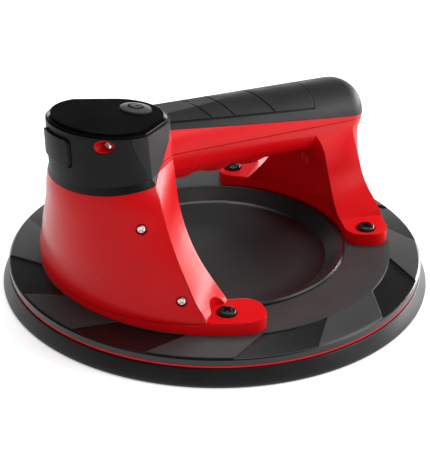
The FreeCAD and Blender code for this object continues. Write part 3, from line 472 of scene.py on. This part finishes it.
# Black nylon of the inner carriers.
INNER_NYLON = Finish("nylon black moulded", "#242424", 0.48, Grain.ERODED, 0.8, 0.02,
                     second="#2B2B2B", edge_mm=0.25, ior=1.53)
# Translucent silicone of hose, gasket and diaphragm.
HOSE_SILICONE = Finish("silicone translucent moulded", "#BDBCB4", 0.36, Grain.ERODED, 1.0, 0.008,
                       second="#C8C7C0", edge_mm=0.2, ior=1.41)
# Solder mask over woven glass board: green with a faint weave.
BOARD_LAMINATE = Finish("FR4 laminate green mask", "#0E4A26", 0.30, Grain.WOVEN, 0.5, 0.006,
                        second="#0B3F20", edge_mm=0.1, ior=1.55)
# Epoxy moulded parts on the boards.
EPOXY_BLACK = Finish("epoxy moulded black", "#141414", 0.5, Grain.ERODED, 0.4, 0.01,
                     second="#1B1B1B", edge_mm=0.1, ior=1.55)
# PVC shrink sleeve of the cell: blue and slightly wrinkled.
CELL_SLEEVE = Finish("PVC shrink sleeve blue", "#1C4E8C", 0.25, Grain.ERODED, 2.5, 0.04,
                     second="#184680", edge_mm=0.3, ior=1.53)


class Body(Enum):
    """The bodies that pieces ride on."""

    HOUSING = "housing"
    BUTTON = "button"


def dress(finish: Finish, *nodes: str) -> None:
    """Gives nodes of the frame a finish, on every material slot they have.

    Args:
        finish: the finish.
        nodes: names of the nodes.
    """
    material = finish.build()
    for name in nodes:
        piece = frame["nodes"][name]
        if not piece.material_slots:
            piece.data.materials.append(material)
        for place in piece.material_slots:
            place.material = material
        log.info("dressed %s in %s", name, finish.name)


def add_piece(name: str, mesh: bpy.types.Mesh, finish: Finish, body: Body,
              stands_for: Sequence[str] = ()) -> bpy.types.Object:
    """Adds a piece that rides on a body.

    Args:
        name: the piece's name.
        mesh: its mesh, in the frame of the object.
        finish: its finish.
        body: what it rides on.
        stands_for: nodes that it takes the place of.

    Returns:
        The new object.
    """
    piece = bpy.data.objects.new(name, mesh)
    bpy.context.scene.collection.objects.link(piece)
    mesh.materials.append(finish.build())
    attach(piece, body.value)
    if stands_for:
        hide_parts(*stands_for)
    log.info("added %s with %d faces", name, len(mesh.polygons))
    return piece


def round_corner(before: Vector, corner: Vector, after: Vector, radius: float,
                 steps: int = 6) -> list[Vector]:
    """Points of a round that takes the place of a sharp corner of an outline.

    Args:
        before: the point ahead of the corner.
        corner: the sharp corner.
        after: the point past the corner.
        radius: radius of the round.
        steps: spans along the round.

    Returns:
        The points, in order.
    """
    back = (before - corner).normalized()
    ahead = (after - corner).normalized()
    half = back.angle(ahead) / 2
    setback = radius / math.tan(half)
    centre = corner + (back + ahead).normalized() * (radius / math.sin(half))
    start = corner + back * setback - centre
    sweep = math.pi - 2 * half
    turn = 1.0 if start.cross(corner + ahead * setback - centre) > 0 else -1.0
    return [centre + Matrix.Rotation(turn * sweep * i / steps, 2) @ start
            for i in range(steps + 1)]


def rounded_outline(corners: Sequence[tuple[float, float, float]]) -> list[Vector]:
    """Outline whose corners are rounded.

    Args:
        corners: radius, height and rounding of each corner, in millimetres.

    Returns:
        The points of the closed outline, in metres.
    """
    points = [Vector((r, z)) * MM for r, z, _ in corners]
    outline: list[Vector] = []
    for i, (_, _, rounding) in enumerate(corners):
        if rounding:
            outline += round_corner(points[i - 1], points[i], points[(i + 1) % len(points)],
                                    rounding * MM)
        else:
            outline.append(points[i])
    return outline


def turned_mesh(name: str, outline: Sequence[Vector], sides: int = 256) -> bpy.types.Mesh:
    """Closed ring turned about Z from an outline of (radius, height).

    Args:
        name: the mesh's name.
        outline: the points of the closed outline, none on the axis.
        sides: copies round the axis.

    Returns:
        The mesh, shaded smooth.
    """
    shape = bmesh.new()
    rings = []
    for i in range(sides):
        angle = 2 * math.pi * i / sides
        rings.append([shape.verts.new((p.x * math.cos(angle), p.x * math.sin(angle), p.y))
                      for p in outline])
    count = len(outline)
    for i, ring in enumerate(rings):
        following = rings[(i + 1) % sides]
        for j in range(count):
            shape.faces.new((ring[j], following[j], following[(j + 1) % count],
                             ring[(j + 1) % count]))
    bmesh.ops.recalc_face_normals(shape, faces=shape.faces)
    return finished_mesh(name, shape)


def finished_mesh(name: str, shape: bmesh.types.BMesh, crease: float = 35.0) -> bpy.types.Mesh:
    """Turns a built shape into a mesh that is smooth but at its sharp edges.

    Args:
        name: the mesh's name.
        shape: the shape, which is freed.
        crease: angle in degrees from which an edge stays sharp.

    Returns:
        The mesh.
    """
    for face in shape.faces:
        face.smooth = True
    for edge in shape.edges:
        if len(edge.link_faces) == 2:
            edge.smooth = edge.calc_face_angle() < math.radians(crease)
    mesh = bpy.data.meshes.new(name)
    shape.to_mesh(mesh)
    shape.free()
    return mesh


@dataclass
class SuctionCup:
    """The soft cup under the plate, with its sealing band."""

    lip_inner_mm: float = 92.0
    lip_inner_round_mm: float = 0.8
    lip_inset_mm: float = 0.2
    lip_heel_round_mm: float = 1.0
    lip_edge_mm: float = 1.4
    lip_edge_round_mm: float = 0.9
    neck_inset_mm: float = 0.7
    neck_height_mm: float = 3.0
    neck_round_mm: float = 6.0
    skirt_mm: float = 104.15
    skirt_height_mm: float = 8.5
    skirt_round_mm: float = 1.1
    step_mm: float = 97.45
    step_round_mm: float = 0.2
    chamber_mm: float = 3.0
    chamber_slope_mm: float = 2.0
    chamber_round_mm: float = 1.0
    web_mm: float = 6.0
    bore_mm: float = 1.0
    rib_height_mm: float = 0.5
    rib_foot_mm: float = 0.5
    rib_crown_mm: float = 0.2
    rib_round_mm: float = 0.15
    rib_places_mm: tuple[float, ...] = (95.0, 98.2, 101.4)
    band_swell_mm: float = 0.25
    band_round_mm: float = 0.7

    def build(self) -> None:
        """Builds the cup and its band."""
        self.cup()
        self.band()

    def ribs(self) -> list[tuple[float, float, float]]:
        """Outline of the fine sealing ribs under the lip.

        Returns:
            Radius, height and rounding of each corner.
        """
        corners = []
        for place in self.rib_places_mm:
            corners += [(place - self.rib_foot_mm, 0.0, 0.0),
                        (place - self.rib_crown_mm, self.rib_height_mm, self.rib_round_mm),
                        (place + self.rib_crown_mm, self.rib_height_mm, self.rib_round_mm),
                        (place + self.rib_foot_mm, 0.0, 0.0)]
        return corners

    def cup(self) -> bpy.types.Object:
        """The rubber cup: sealing lip with fine ribs, a rounded skirt and a flat web.

        Returns:
            The piece that takes the place of the cup's node.
        """
        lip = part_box("suction_pad")[1].x / MM
        under = [(self.lip_inner_mm - self.chamber_slope_mm, self.chamber_mm,
                  self.chamber_round_mm),
                 (self.lip_inner_mm, 0.0, self.lip_inner_round_mm)]
        outside = [(lip - self.lip_inset_mm, 0.0, self.lip_heel_round_mm),
                   (lip, self.lip_edge_mm, self.lip_edge_round_mm),
                   (lip - self.neck_inset_mm, self.neck_height_mm, self.neck_round_mm),
                   (self.skirt_mm, self.skirt_height_mm, self.skirt_round_mm),
                   (self.step_mm, self.skirt_height_mm, self.step_round_mm),
                   (self.step_mm, self.web_mm, 0.0),
                   (self.bore_mm, self.web_mm, 0.0),
                   (self.bore_mm, self.chamber_mm, 0.0)]
        mesh = turned_mesh("cup", rounded_outline(under + self.ribs() + outside))
        return add_piece("cup_skin", mesh, CUP_RUBBER, Body.HOUSING,
                         ("suction_pad",))

    def band(self) -> bpy.types.Object:
        """The red band, a flat ring with a rounded outer bead.

        Returns:
            The piece that takes the place of the band's node.
        """
        low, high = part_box("seal_band")
        outer = high.x / MM + self.band_swell_mm
        bottom = low.z / MM
        top = high.z / MM
        outline = rounded_outline([(self.step_mm, bottom, 0.0),
                                   (outer, bottom, self.band_round_mm),
                                   (outer, top, self.band_round_mm),
                                   (self.step_mm, top, 0.0)])
        return add_piece("band_bead", turned_mesh("band", outline), BAND_SILICONE, Body.HOUSING,
                         ("seal_band",))


@dataclass
class BasePlate:
    """The nylon plate with its brass inserts, inlet and foam filter."""

    def build(self) -> None:
        """Dresses the plate and what sits in it."""
        dress(PLATE_NYLON, "base_plate")
        dress(TURNED_BRASS, "foot_inserts", "inlet_nipple")
        dress(FILTER_FOAM, "inlet_filter")
        dress(ZINC_BLACK, "foot_screws")


@dataclass
class Housing:
    """Tower, panel, handle and leg in red, with their small screws."""

    def build(self) -> None:
        """Dresses the red mouldings and the screws in them."""
        dress(HOUSING_ABS, "front_panel", "lower_frame", "upper_shell", "display_carrier")
        dress(NICKEL_STEEL, "panel_screws", "head_screws", "handle_screws")


@dataclass
class Head:
    """The black head of the tower: covers, lens, button with its mark, and port flap."""

    mark_radius_mm: float = 3.3
    mark_width_mm: float = 1.1
    mark_gap_deg: float = 38.0
    mark_rise_mm: float = 0.06
    mark_sink_mm: float = 0.1
    mark_steps: int = 40
    bar_length_mm: float = 3.6
    bar_lift_mm: float = 0.4
    bar_steps: int = 8
    button_rim_mm: float = 7.3
    button_dome_mm: float = 1.0

    def build(self) -> None:
        """Dresses the head and adds the power mark."""
        dress(GRIP_TPE, "soft_cover")
        dress(COVER_ABS, "head_front_cover")
        dress(LENS_POLYCARBONATE, "display_window")
        dress(BUTTON_ABS, "power_button")
        dress(COVER_ABS, "port_cap")
        self.power_mark()

    def button_frame(self) -> tuple[Vector, Vector, Vector, Vector]:
        """Finds the button's top and its directions.

        Returns:
            Top point, direction along the button's slope, direction across, and up.
        """
        press = next(j for j in frame["joints"] if j["child"] == Body.BUTTON.value)
        up = -Vector(press["axis"]).normalized()
        across = Vector((0, 1, 0))
        along = across.cross(up)
        cap = [v.co for v in frame["nodes"]["power_button"].data.vertices]
        ahead = [co.dot(along) for co in cap]
        top = along * ((min(ahead) + max(ahead)) / 2) + up * max(co.dot(up) for co in cap)
        return top, along, across, up

    def power_mark(self) -> None:
        """Power mark on the button's dome: an open ring with a bar, both thin strips."""
        top, along, across, up = self.button_frame()
        shape = bmesh.new()
        inner = (self.mark_radius_mm - self.mark_width_mm / 2) * MM
        outer = (self.mark_radius_mm + self.mark_width_mm / 2) * MM
        gap = math.radians(self.mark_gap_deg)
        arc = []
        for i in range(self.mark_steps + 1):
            angle = gap + (2 * math.pi - 2 * gap) * i / self.mark_steps
            ahead = Vector((math.cos(angle), math.sin(angle)))
            arc.append((ahead * inner, ahead * outer))
        self.strip(shape, arc, top, along, across, up)
        half = self.mark_width_mm / 2 * MM
        start = (self.mark_radius_mm + self.bar_lift_mm) * MM
        span = self.bar_length_mm * MM / self.bar_steps
        bar = [(Vector((start - span * i, -half)), Vector((start - span * i, half)))
               for i in range(self.bar_steps + 1)]
        self.strip(shape, bar, top, along, across, up)
        bmesh.ops.recalc_face_normals(shape, faces=shape.faces)
        add_piece("power_mark", finished_mesh("power_mark", shape), MARK_INK, Body.BUTTON)

    def dome_drop(self, radius: float) -> float:
        """Finds how far the button's dome falls away from its top.

        Args:
            radius: the distance from the button's axis.

        Returns:
            The fall.
        """
        rim, dome = self.button_rim_mm * MM, self.button_dome_mm * MM
        sphere = (rim ** 2 + dome ** 2) / (2 * dome)
        return sphere - math.sqrt(sphere ** 2 - radius ** 2)

    def strip(self, shape: bmesh.types.BMesh, pairs: Sequence[tuple[Vector, Vector]],
              top: Vector, along: Vector, across: Vector, up: Vector) -> None:
        """Adds a closed thin strip that follows the dome.

        Args:
            shape: gets the strip.
            pairs: both edges of the strip, in the button's plane.
            top: top of the dome.
            along: first direction of the plane.
            across: second direction of the plane.
            up: normal of the plane.
        """
        rows = []
        for left, right in pairs:
            row = []
            for point, rise in ((left, -self.mark_sink_mm), (left, self.mark_rise_mm),
                                (right, self.mark_rise_mm), (right, -self.mark_sink_mm)):
                height = rise * MM - self.dome_drop(point.length)
                row.append(shape.verts.new(top + along * point.x + across * point.y
                                           + up * height))
            rows.append(row)
        for row, following in zip(rows, rows[1:]):
            for j in range(len(row)):
                after = (j + 1) % len(row)
                shape.faces.new((row[j], following[j], following[after], row[after]))
        shape.faces.new(rows[0])
        shape.faces.new(list(reversed(rows[-1])))


@dataclass
class Insides:
    """Pump, air line, cell and boards inside the tower and handle."""

    def build(self) -> None:
        """Dresses every inner piece."""
        dress(INNER_NYLON, "pump_bracket", "battery_cradle")
        dress(DRAWN_STEEL, "motor_can", "motor_rotor", "release_valve")
        dress(TURNED_BRASS, "valve_plunger")
        dress(NATURAL_NYLON, "pump_body", "pump_head", "connecting_rod", "air_manifold")
        dress(HOSE_SILICONE, "pump_diaphragm", "manifold_gasket", "air_hose")
        dress(BOARD_LAMINATE, "main_board", "display_board", "charge_board")
        dress(EPOXY_BLACK, "control_chip", "display_module", "power_switch", "pressure_sensor")
        dress(NICKEL_STEEL, "charge_socket", "contact_plates")
        dress(CELL_SLEEVE, "battery_cell")


@dataclass(frozen=True)
class Softbox:
    """A rectangular soft lamp that faces a point on the cup's axis."""

    name: str
    place: tuple[float, float, float]
    aim_height: float
    size: tuple[float, float]
    watts: float

    def hang(self) -> None:
        """Adds the lamp to the scene."""
        light = bpy.data.lights.new(self.name, "AREA")
        light.shape = "RECTANGLE"
        light.size, light.size_y = self.size
        light.energy = self.watts
        lamp = bpy.data.objects.new(self.name, light)
        lamp.location = self.place
        towards = Vector((0.0, 0.0, self.aim_height)) - Vector(self.place)
        lamp.rotation_euler = towards.to_track_quat("-Z", "Y").to_euler()
        bpy.context.scene.collection.objects.link(lamp)


@dataclass
class Studio:
    """Pale floor, soft lamps, pale surroundings and the camera."""

    azimuth: float = -44.1
    elevation: float = 28.15
    roll: float = 0.53
    distance: float = 0.8
    target: tuple[float, float, float] = (0.00654, 0.00687, 0.01772)
    focal_pixels: float = 1559.0
    picture: tuple[int, int] = (430, 465)
    sensor_mm: float = 36.0
    floor_half: float = 6.0
    floor_colour: str = "#F2F2F2"
    floor_roughness: float = 0.9
    floor_glow: float = 0.35
    around: float = 0.5
    horizon: float = 0.9
    ceiling: float = 0.08
    horizon_top: float = 0.03
    ceiling_start: float = 0.22
    lamps: tuple[Softbox, ...] = (
        Softbox("top softbox", (0.2, 0.06, 1.1), 0.03, (0.8, 0.8), 7.5),
        Softbox("right softbox", (0.8, -0.16, 0.09), 0.05, (0.6, 0.16), 5.0),
        Softbox("side softbox", (0.5, -0.7, 0.55), 0.03, (0.6, 0.5), 4.0),
        Softbox("rear softbox", (0.6, 0.65, 0.12), 0.03, (1.6, 0.16), 2.5),
    )

    def build(self) -> None:
        """Builds the floor, the lamps, the world and the camera."""
        self.camera()
        self.floor()
        self.world()
        for softbox in self.lamps:
            softbox.hang()

    def camera(self) -> None:
        """Sets the camera at the photograph's angle."""
        turn, lift = math.radians(self.azimuth), math.radians(self.elevation)
        back = Vector((math.sin(turn) * math.cos(lift), -math.cos(turn) * math.cos(lift),
                       math.sin(lift)))
        right = Vector((math.cos(turn), math.sin(turn), 0.0))
        up = back.cross(right)
        level = Matrix((right, up, back)).transposed()
        lens = bpy.data.cameras.new("view")
        lens.sensor_width = self.sensor_mm
        lens.sensor_fit = "AUTO"
        lens.lens = self.focal_pixels * self.sensor_mm / max(self.picture)
        lens.dof.use_dof = False
        eye = bpy.data.objects.new("view", lens)
        spin = Matrix.Rotation(math.radians(self.roll), 3, "Z")
        stand = Matrix.Translation(Vector(self.target) + back * self.distance)
        eye.matrix_world = stand @ (level @ spin).to_4x4()
        bpy.context.scene.collection.objects.link(eye)
        bpy.context.scene.camera = eye

    def seen_share(self, tree: bpy.types.NodeTree) -> bpy.types.NodeSocket:
        """Tells sight from plain light.

        Args:
            tree: the material's or the world's tree.

        Returns:
            An output of 1 for what the camera, a reflection or a refraction sees, and else 0.
        """
        path = add_node(tree, "ShaderNodeLightPath")
        first = add_node(tree, "ShaderNodeMath", {"operation": "MAXIMUM"},
                         {0: path.outputs["Is Camera Ray"], 1: path.outputs["Is Glossy Ray"]})
        both = add_node(tree, "ShaderNodeMath", {"operation": "MAXIMUM"},
                        {0: first.outputs[0], 1: path.outputs["Is Transmission Ray"]})
        return both.outputs[0]

    def floor(self) -> None:
        """A wide pale floor that keeps the object's shadow."""
        mesh = bpy.data.meshes.new("floor")
        half = self.floor_half
        corners = [(-half, -half, 0), (half, -half, 0), (half, half, 0), (-half, half, 0)]
        mesh.from_pydata(corners, [], [(0, 1, 2, 3)])
        ground = bpy.data.objects.new("floor", mesh)
        bpy.context.scene.collection.objects.link(ground)
        material = bpy.data.materials.new("floor paper")
        material.use_nodes = True
        tree = material.node_tree
        tree.nodes.clear()
        glow = add_node(tree, "ShaderNodeMath", {"operation": "MULTIPLY", 1: self.floor_glow},
                        {0: self.seen_share(tree)})
        paper = add_node(tree, "ShaderNodeBsdfPrincipled", {
            "Base Color": linear(self.floor_colour), "Roughness": self.floor_roughness,
            "Specular IOR Level": 0.0, "Emission Color": (1, 1, 1, 1),
        }, {"Emission Strength": glow.outputs[0]})
        add_node(tree, "ShaderNodeOutputMaterial", {}, {"Surface": paper.outputs[0]})
        mesh.materials.append(material)

    def world(self) -> None:
        """White surroundings, which reflections see dimmer towards the ceiling."""
        world = bpy.data.worlds.new("studio")
        world.use_nodes = True
        tree = world.node_tree
        tree.nodes.clear()
        ray = add_node(tree, "ShaderNodeTexCoord").outputs["Generated"]
        parts = add_node(tree, "ShaderNodeSeparateXYZ", {}, {"Vector": ray})
        strength = add_node(tree, "ShaderNodeMapRange", {
            "interpolation_type": "SMOOTHSTEP",
            "From Min": self.horizon_top, "From Max": self.ceiling_start,
            "To Min": self.horizon, "To Max": self.ceiling,
        }, {"Value": parts.outputs["Z"]})
        lit = add_node(tree, "ShaderNodeMix", {"data_type": "FLOAT", 2: self.around},
                       {0: self.seen_share(tree), 3: strength.outputs[0]})
        direct = add_node(tree, "ShaderNodeLightPath").outputs["Is Camera Ray"]
        level = add_node(tree, "ShaderNodeMix", {"data_type": "FLOAT", 3: 1.0},
                         {0: direct, 2: lit.outputs[0]})
        back = add_node(tree, "ShaderNodeBackground", {"Color": (1, 1, 1, 1)},
                        {"Strength": level.outputs[0]})
        add_node(tree, "ShaderNodeOutputWorld", {}, {"Surface": back.outputs[0]})
        bpy.context.scene.world = world


def main() -> None:
    """Builds every sub-assembly round the frame."""
    logging.basicConfig(level=logging.INFO, format="%(name)s: %(message)s")
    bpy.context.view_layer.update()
    bpy.context.scene.view_settings.view_transform = "Standard"
    for part in (Studio(), SuctionCup(), BasePlate(), Housing(), Head(), Insides()):
        part.build()


if __name__ == "__main__":
    main()
